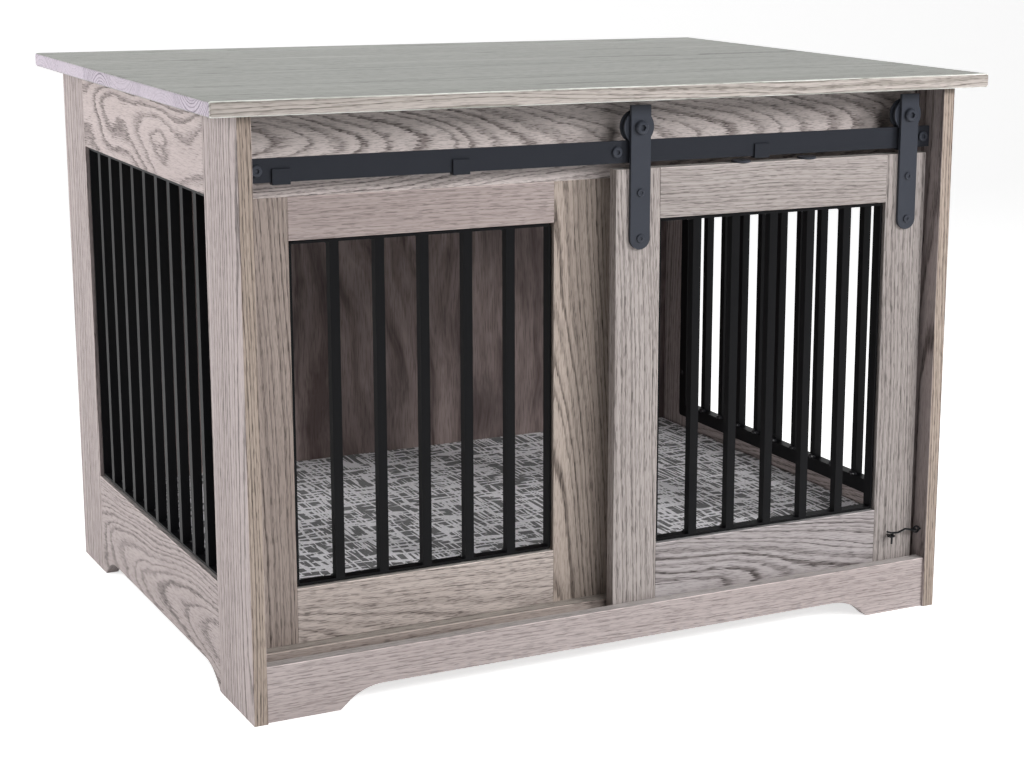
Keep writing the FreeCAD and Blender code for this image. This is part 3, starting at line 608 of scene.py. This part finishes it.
def make_side_boards(side, seed):
    oak_board(f"{side}_front_stile", "z", "y", seed,
              Cut((0.07, 0.12), (0.01, 0.01), wild=0.4, rings=1.2),
              scaled(ROSE, 0.94), face_tint=stile_face)
    oak_board(f"{side}_rear_stile", "z", "y", seed + 1,
              Cut((-0.08, 0.12), (0.02, 0.0), wild=0.5), scaled(ROSE, 0.9))
    oak_board(f"{side}_top_rail", "y", "z", seed + 2,
              Cut((0.02, 0.13), (0.02, 0.03), wild=2.6, rings=1.1, pores=0.7), ROSE)
    oak_board(f"{side}_bottom_rail", "y", "z", seed + 3,
              Cut((0.03, 0.12), (0.02, 0.05), wild=1.8), scaled(ROSE, 0.86))


def make_front_boards():
    oak_board("header_board", "x", "z", 31, Cut((-0.005, 0.1), (0.02, 0.11), wild=1.4),
              (1.36, 1.4, 1.45))
    oak_board("fixed_left_stile", "z", "x", 32, Cut((0.05, 0.09), (0.0, 0.02), wild=0.5),
              (0.77, 0.74, 0.71))
    oak_board("fixed_right_stile", "z", "x", 33, Cut((0.05, 0.08), (0.01, 0.03), wild=0.8),
              (0.97, 0.94, 0.88))
    oak_board("fixed_top_rail", "x", "z", 34, FINE, (0.89, 0.86, 0.88))
    oak_board("fixed_bottom_rail", "x", "z", 35,
              Cut((0.05, 0.08), (0.01, 0.03), rings=0.7, pores=1.4), (1.24, 1.25, 1.24))
    oak_board("ledge_board", "x", "y", 36, STRAIGHT, (0.94, 0.92, 0.9))
    oak_board("channel_floor", "x", "y", 37, STRAIGHT, BROWNER)
    oak_board("base_rail", "x", "z", 38, FINE, (1.12, 1.12, 1.17))


def make_door_boards():
    stile = Cut((0.1, 0.12), (0.012, 0.0), wild=0.4, rings=0.75, pores=1.2)
    oak_board("door_left_stile", "z", "x", 51, stile, GREYER)
    oak_board("door_right_stile", "z", "x", 52, stile, scaled(GREYER, 0.85))
    oak_board("door_top_rail", "x", "z", 53, Cut((0.13, 0.07), (0.02, 0.0), rings=0.6),
              scaled(GREYER, 0.93))
    oak_board("door_bottom_rail", "x", "z", 54,
              Cut((0.04, 0.08), (0.1, 0.04), wild=2.0, rings=1.2), (0.93, 0.98, 1.05))


def make_inner_boards():
    for node, grain, across in (
            ("back_panel", "z", "x"), ("floor_panel", "x", "y"),
            ("front_floor_rail", "x", "z"), ("rear_floor_cleat", "x", "z"),
            ("left_floor_cleat", "y", "z"), ("right_floor_cleat", "y", "z"),
            ("left_top_cleat", "y", "z"), ("right_top_cleat", "y", "z")):
        tint = BACK_TINT if node == "back_panel" else INNER_DARK
        seed = len(node)
        oak_board(node, grain, across, seed, INNER, tint, PLYWOOD)


# --- slab -----------------------------------------------------------------------------------

STAVES = 6
STAVE_STEP = 4.1        # metres of log between one stave and the next
SLAB_SMOOTH_BEND = 40
SLAB_PITH_DEPTH = 55 * MM
SLAB_WILD = 0.8
SLAB_RINGS = 1.3
SLAB_TINT = 0.96
SLAB_TINT_SPREAD = 0.04
END_RINGS = 0.75
END_RINGS_SPREAD = 0.6
SLAB_FRONT_TINT = (1.66, 1.45, 1.52)
# painted highlight: the slab's eased front arris is tinted far paler, standing in for light
# glancing off it
SLAB_ARRIS_PAINTED_HIGHLIGHT = (3.3, 3.25, 3.45)
END_FACING = 0.75
FRONT_FACING = 0.8
ARRIS_FACING = 0.2


class Stave:
    """One of the slab's boards, with its own place in a log and its own tint. The sines only
    make the staves differ."""

    def __init__(self, number, low, high, depth):
        self.tint = scaled(PLAIN, SLAB_TINT + SLAB_TINT_SPREAD * math.sin(5.1 * number + 1))
        self.end_rings = END_RINGS + END_RINGS_SPREAD * math.sin(2.2 * number + 1.6)
        self.turned = 1 if number % 2 else -1
        self.along = STAVE_STEP * number + 0.7
        self.across = -low.y - (number + 0.5) * depth + 0.03 * math.sin(2.3 * number)
        self.pith = SLAB_PITH_DEPTH + 0.02 * (number % 3)
        self.middle = (low.z + high.z) / 2

    def place(self, spot):
        return (spot.x + self.along, spot.y + self.across,
                self.turned * (spot.z - self.middle) + self.pith)

    def face_tint(self, normal):
        if abs(normal.x) <= END_FACING:
            if normal.y < -FRONT_FACING:
                return SLAB_FRONT_TINT
            # the front arris gets a painted highlight
            if normal.y < -ARRIS_FACING:
                return SLAB_ARRIS_PAINTED_HIGHLIGHT
        return self.tint


def make_slab():
    """The slab is staves glued edge to edge: each has its own rings, which show at its ends."""
    low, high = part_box("table_top")
    depth = (high.y - low.y) / STAVES
    solid = node_copy("table_top")
    for number in range(1, STAVES):
        bmesh.ops.bisect_plane(
            solid, geom=solid.verts[:] + solid.edges[:] + solid.faces[:],
            plane_co=(0, low.y + number * depth, 0), plane_no=(0, 1, 0))
    mesh = made_mesh("table_top_slab", solid)
    piece = add_object("table_top_slab", mesh, SLAB_OAK)
    mesh.materials.append(SLAB_END_GRAIN_AND_PAINTED_LIGHT)
    smooth(piece, SLAB_SMOOTH_BEND)
    staves = [Stave(number, low, high, depth) for number in range(STAVES)]
    grain, cuts, tints = wood_attributes(mesh)
    for face in mesh.polygons:
        stave = staves[min(STAVES - 1, int((face.center.y - low.y) / depth))]
        # end faces take the pale end-grain material, which is partly painted light
        at_end = abs(face.normal.x) > END_FACING
        face.material_index = 1 if at_end else 0
        for corner in face.loop_indices:
            spot = mesh.vertices[mesh.loops[corner].vertex_index].co
            grain.data[corner].vector = stave.place(spot)
            cuts.data[corner].vector = (SLAB_WILD, stave.end_rings if at_end else SLAB_RINGS, 1)
            tints.data[corner].color = (*stave.face_tint(face.normal), 1.0)
    stand_in(piece, "table_top")


# --- steel ----------------------------------------------------------------------------------

BAR_EASE = 0.9 * MM
PLATE_EASE = 0.6 * MM
FITTING_EASE = 0.25 * MM


def make_steel():
    for node in ("left_side_grid", "right_side_grid", "fixed_grid", "door_grid"):
        dress(node, BARS, BAR_EASE)
    for node in ("track_bar", "track_clips"):
        dress(node, TRACK, PLATE_EASE)
    for node in ("left_strap", "right_strap"):
        dress(node, HARDWARE, PLATE_EASE)
    for node in ("track_bolts", "track_spacers", "strap_screws", "axle_bolts", "axle_nuts",
                 "left_wheel", "right_wheel", "anti_jump_discs"):
        dress(node, HARDWARE, FITTING_EASE)
    for node in ("left_grid_screws", "right_grid_screws", "fixed_grid_screws",
                 "door_grid_screws", "top_screws", "disc_screws"):
        dress(node, SCREWS, ease=0)
    for node in ("side_eye", "latch_hook", "door_eye"):
        dress(node, WIRE, ease=0)


# --- weld beads -----------------------------------------------------------------------------

BAR = 12.7 * MM
LEG_THICK = 3.2 * MM
GRID_FLANGE = 22 * MM
GRID_CLEAR = 1.8 * MM
BEAD_SIDE = 0.68 * BAR
BEAD_IN = 4.0 * MM
BEAD_UP = 5.0 * MM
BEAD_BEHIND = 0.6 * MM
LUMP = 0.28
LUMP_REPEATS = 1.9
SIDE_BARS = 9
FRONT_BARS = 5
RIGHT = Vector((1, 0, 0))
BACK = Vector((0, 1, 0))
UP = Vector((0, 0, 1))


def weld_bead(solid, spot, side, inwards, upwards, seed):
    """A lumpy bead of weld where a bar meets its ring."""
    made = bmesh.ops.create_uvsphere(solid, u_segments=14, v_segments=9, radius=1.0)
    for vertex in made["verts"]:
        x, y, z = vertex.co
        lump = 1 + LUMP * noise.noise(vertex.co * LUMP_REPEATS + RIGHT * seed)
        reach = side * x * BEAD_SIDE + inwards * y * BEAD_IN + upwards * z * BEAD_UP
        vertex.co = spot + reach * lump


def make_welds(grid, bars, side, inwards, body):
    """Beads behind the top and bottom of each bar of a ring; side is the way the bars follow
    each other and inwards the way into the case."""
    low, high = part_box(grid)
    flange = GRID_FLANGE - LEG_THICK
    opening = side.dot(high - low) - 2 * flange
    pitch = (opening + 2 * GRID_CLEAR) / (bars + 1)
    depth_axis = 1 if side == RIGHT else 0
    outer = high if inwards[depth_axis] < 0 else low
    solid = bmesh.new()
    for number in range(bars):
        spot = (low + high) / 2 + side * (number - (bars - 1) / 2) * pitch
        spot[depth_axis] = outer[depth_axis] + inwards[depth_axis] * (BAR + BEAD_BEHIND)
        for top in (False, True):
            spot.z = high.z - GRID_FLANGE if top else low.z + GRID_FLANGE
            upwards = -UP if top else UP
            weld_bead(solid, spot, side, inwards, upwards, number * 3.3 + 7 * top)
    piece = add_object(grid + "_welds", made_mesh(grid + "_welds", solid), SCREWS)
    piece.data.shade_smooth()
    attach(piece, body)


def make_all_welds():
    make_welds("left_side_grid", SIDE_BARS, BACK, RIGHT, CASE)
    make_welds("right_side_grid", SIDE_BARS, BACK, -RIGHT, CASE)
    make_welds("fixed_grid", FRONT_BARS, RIGHT, BACK, CASE)
    make_welds("door_grid", FRONT_BARS, RIGHT, BACK, DOOR)


# --- carpet mat -----------------------------------------------------------------------------

CARPET_CELL = 6 * MM
CARPET_DROP = 1.0 * MM
CARPET_ROLL = 7 * MM
CARPET_ROLL_FALL = 3 * MM
CARPET_SMOOTH_BEND = 50


def swell(x, y, repeats, reach, layer):
    """A smooth rise and fall over the mat, which repeats so often per metre."""
    return noise.noise(Vector((x * repeats, y * repeats, layer))) * reach


def pile_height(x, y, from_edge):
    """How far the pile stands above its mean level: it rolls over at the edges and wavers."""
    fall = 0.0
    if from_edge < CARPET_ROLL:
        fall = CARPET_ROLL_FALL * (1 - math.sqrt(1 - (1 - from_edge / CARPET_ROLL) ** 2))
    waver = swell(x, y, repeats=9, reach=0.6 * MM, layer=0.5)
    tufts = swell(x, y, repeats=160, reach=0.45 * MM, layer=3.7)
    return waver + tufts - fall


def make_carpet():
    """The mat lies on the floor panel: a low pile over a flat back."""
    low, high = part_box("carpet_mat")
    size = high - low
    columns = round(size.x / CARPET_CELL)
    rows = round(size.y / CARPET_CELL)
    solid = bmesh.new()
    pile = {}
    for row in range(rows + 1):
        for column in range(columns + 1):
            x = low.x + size.x * column / columns
            y = low.y + size.y * row / rows
            from_edge = min(x - low.x, high.x - x, y - low.y, high.y - y)
            level = high.z - CARPET_DROP + pile_height(x, y, from_edge)
            pile[row, column] = solid.verts.new((x, y, level))
    for row in range(rows):
        for column in range(columns):
            solid.faces.new((pile[row, column], pile[row, column + 1],
                             pile[row + 1, column + 1], pile[row + 1, column]))
    rim = [edge for edge in solid.edges if edge.is_boundary]
    skirt = bmesh.ops.extrude_edge_only(solid, edges=rim)["geom"]
    for vertex in skirt:
        if isinstance(vertex, bmesh.types.BMVert):
            vertex.co.z = low.z
    hem = [edge for edge in skirt if isinstance(edge, bmesh.types.BMEdge) and edge.is_boundary]
    bmesh.ops.holes_fill(solid, edges=hem)
    bmesh.ops.recalc_face_normals(solid, faces=solid.faces)
    piece = add_object("carpet_mat_pile", made_mesh("carpet_mat_pile", solid), CARPET)
    smooth(piece, CARPET_SMOOTH_BEND)
    stand_in(piece, "carpet_mat")


# --- stage ----------------------------------------------------------------------------------

SWEEP_WIDTH = 14.0
SWEEP_FRONT = -7.0
SWEEP_BACK = 6.0
SWEEP_HEIGHT = 5.0
SWEEP_BEND = 2.5
SWEEP_STEPS = 12
SWEEP_DROP = 0.2 * MM
PAPER_GLOW = 0.7


def studio_paper():
    """Pale paper that the camera and mirrors see brighter, and other light as it is."""
    paper = Shader("studio_paper", roughness=0.9, specular=0.1)
    paper.finish(colour(236, 236, 236))
    paths = paper.add("LightPath").outputs
    seen = paper.math("MAXIMUM", paths["Is Camera Ray"], paths["Is Glossy Ray"])
    white = paper.add("Emission")
    white.inputs["Strength"].default_value = PAPER_GLOW
    both = paper.add("AddShader")
    paper.feed(both.inputs[0], paper.surface.outputs[0])
    paper.feed(both.inputs[1], white.outputs[0])
    pick = paper.add("MixShader")
    paper.feed(pick.inputs[0], seen)
    paper.feed(pick.inputs[1], paper.surface.outputs[0])
    paper.feed(pick.inputs[2], both.outputs[0])
    paper.feed(paper.tree.nodes["Material Output"].inputs["Surface"], pick.outputs[0])
    return paper.material


def make_floor():
    """A pale sweep: level under the crate, curving up far behind it."""
    bend_start = SWEEP_BACK - SWEEP_BEND
    profile = [(SWEEP_FRONT, 0.0), (bend_start, 0.0)]
    for step in range(1, SWEEP_STEPS + 1):
        turn = math.radians(90 * step / SWEEP_STEPS)
        profile.append((bend_start + SWEEP_BEND * math.sin(turn),
                        SWEEP_BEND * (1 - math.cos(turn))))
    profile.append((SWEEP_BACK, SWEEP_HEIGHT))
    solid = bmesh.new()
    left, right = [[solid.verts.new((x, y, z - SWEEP_DROP)) for y, z in profile]
                   for x in (-SWEEP_WIDTH / 2, SWEEP_WIDTH / 2)]
    for corners in zip(left, right, right[1:], left[1:]):
        solid.faces.new(corners)
    floor = add_object("studio_sweep", made_mesh("studio_sweep", solid), studio_paper())
    floor.data.shade_smooth()


AIM = (0, 0, 0.4)
AIR_LIGHT = 0.2
AIR_SEEN = 1.0


def softbox(name, spot, width, height, power, mirrored=True):
    """A lamp that faces the crate; mirrored says whether glossy surfaces show it."""
    data = bpy.data.lights.new(name, "AREA")
    data.shape = "RECTANGLE"
    data.size = width
    data.size_y = height
    data.energy = power
    light = bpy.data.objects.new(name, data)
    light.visible_glossy = mirrored
    light.location = spot
    direction = Vector(AIM) - Vector(spot)
    light.rotation_euler = direction.to_track_quat("-Z", "Y").to_euler()
    scene.collection.objects.link(light)


def make_lights():
    softbox("key_light", (2.3, -2.8, 1.8), 0.8, 0.8, power=72, mirrored=False)
    softbox("left_light", (-3.0, 0.6, 1.2), 1.8, 1.8, power=66)
    softbox("front_light", (0.5, -3.3, 1.9), 1.4, 0.8, power=38, mirrored=False)
    softbox("top_light", (0.2, 0.6, 3.0), 2.4, 2.0, power=20)


def make_world():
    """White air: faint as light on the crate, plain white where the camera sees it."""
    world = bpy.data.worlds.new("studio_world")
    world.use_nodes = True
    tree = world.node_tree
    air = tree.nodes["Background"]
    air.inputs["Color"].default_value = (1, 1, 1, 1)
    paths = tree.nodes.new("ShaderNodeLightPath")
    level = tree.nodes.new("ShaderNodeMapRange")
    level.inputs["To Min"].default_value = AIR_LIGHT
    level.inputs["To Max"].default_value = AIR_SEEN
    tree.links.new(paths.outputs["Is Camera Ray"], level.inputs["Value"])
    tree.links.new(level.outputs[0], air.inputs["Strength"])
    scene.world = world


CAMERA_SPOT = (-1.334, -2.859, 1.035)
CAMERA_YAW = 28.78
CAMERA_PITCH = 12.77
CAMERA_ROLL = 0.62
CAMERA_LENS = 74.4
CAMERA_SHIFT = (-0.1193, -0.004)
CAMERA_REACH = 100


def make_camera():
    """The photograph's viewpoint: yaw turns right of +Y, pitch looks down, roll leans left."""
    data = bpy.data.cameras.new("photo_camera")
    data.lens = CAMERA_LENS
    data.shift_x, data.shift_y = CAMERA_SHIFT
    data.clip_end = CAMERA_REACH
    camera = bpy.data.objects.new("photo_camera", data)
    turn = Matrix.Rotation(math.radians(-CAMERA_YAW), 4, "Z")
    tip = Matrix.Rotation(math.radians(90 - CAMERA_PITCH), 4, "X")
    lean = Matrix.Rotation(math.radians(CAMERA_ROLL), 4, "Z")
    camera.matrix_world = Matrix.Translation(CAMERA_SPOT) @ turn @ tip @ lean
    scene.collection.objects.link(camera)
    scene.camera = camera


scene.view_settings.view_transform = "Standard"
make_camera()
make_slab()
make_side_boards("left", 1)
make_side_boards("right", 11)
make_front_boards()
make_door_boards()
make_inner_boards()
make_steel()
make_all_welds()
make_carpet()
make_floor()
make_world()
make_lights()
